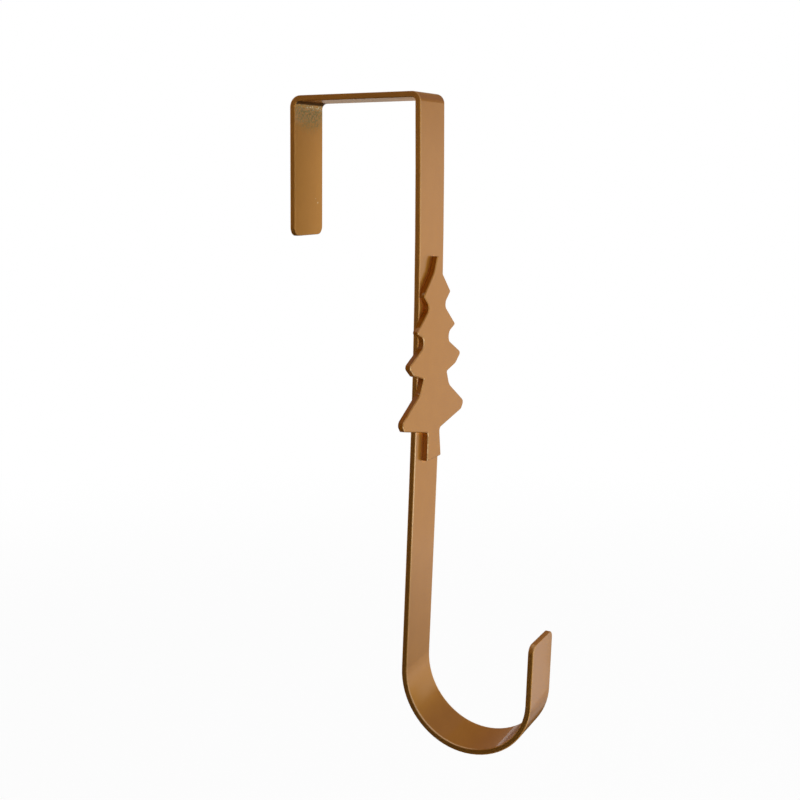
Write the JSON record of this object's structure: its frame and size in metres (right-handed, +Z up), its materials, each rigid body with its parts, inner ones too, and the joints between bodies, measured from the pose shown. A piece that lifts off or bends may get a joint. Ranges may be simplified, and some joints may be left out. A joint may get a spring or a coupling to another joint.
{
  "type": "wreath hanger",
  "caption": "Over-the-door hanger bent from flat metal bar, with a J hook for a wreath at its foot and a cut-out tree plate on the front of its shaft.",
  "frame": {"origin": "middle of the saddle's underside, where the hanger sits on the top edge of the door", "axes": "+Z up, -Y to the front away from the door, +X across the bar"},
  "size_m": [0.0516, 0.0927, 0.2304],
  "materials": {
    "painted_bar": "satin copper-bronze metallic paint on steel",
    "painted_plate": "satin copper-bronze metallic paint on steel"
  },
  "bodies": {
    "root": {"hanger_strip": "painted_bar", "tree_plate": "painted_plate"}
  },
  "joints": []
}
